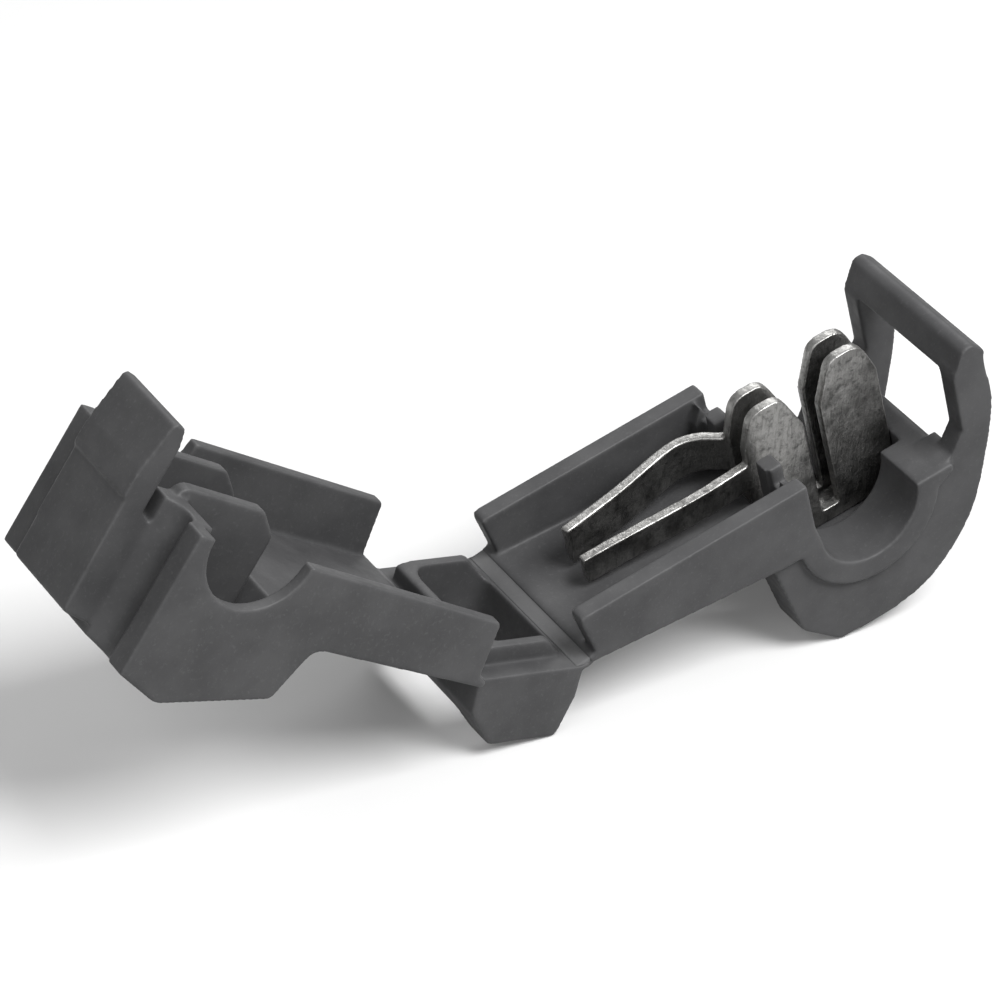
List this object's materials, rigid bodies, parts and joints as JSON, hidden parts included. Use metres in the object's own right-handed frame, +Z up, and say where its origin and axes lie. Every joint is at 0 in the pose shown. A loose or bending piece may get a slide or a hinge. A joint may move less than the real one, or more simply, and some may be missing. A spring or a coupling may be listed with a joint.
{
  "type": "t-tap connector",
  "caption": "Open T-tap connector: one-piece dark moulding with two living hinges and a folded slotted contact that taps a wire without cutting it.",
  "frame": {"origin": "centre of the bounding box in plan, on the surface that the open part rests on", "axes": "+X from the cover's latch end towards the base's latch frame, +Y along the wire channel, +Z up"},
  "size_m": [0.0543, 0.013, 0.0242],
  "materials": {
    "nylon": "semi-matt moulded nylon",
    "plated_metal": "tin-plated, slightly grainy"
  },
  "bodies": {
    "base": {"base_half": "nylon", "contact": "plated_metal"},
    "entry": {"entry_frame": "nylon"},
    "cover": {"cover_half": "nylon"}
  },
  "joints": [
    {"name": "base_hinge", "type": "hinge", "parent": "base", "child": "entry", "pos_m": [0.00207, 0, 0.00399], "axis": [0, 1, 0], "range_deg": [-18.8, 62], "stiffness_Nm_per_rad": 0.02},
    {"name": "cover_hinge", "type": "hinge", "parent": "entry", "child": "cover", "pos_m": [-0.00475, 0, 0.00531], "axis": [0, 1, 0], "range_deg": [-20.93, 69.01], "stiffness_Nm_per_rad": 0.02}
  ],
  "couplings": [
    {"joint": "cover_hinge", "follows": "base_hinge", "ratio": 1.1129}
  ]
}
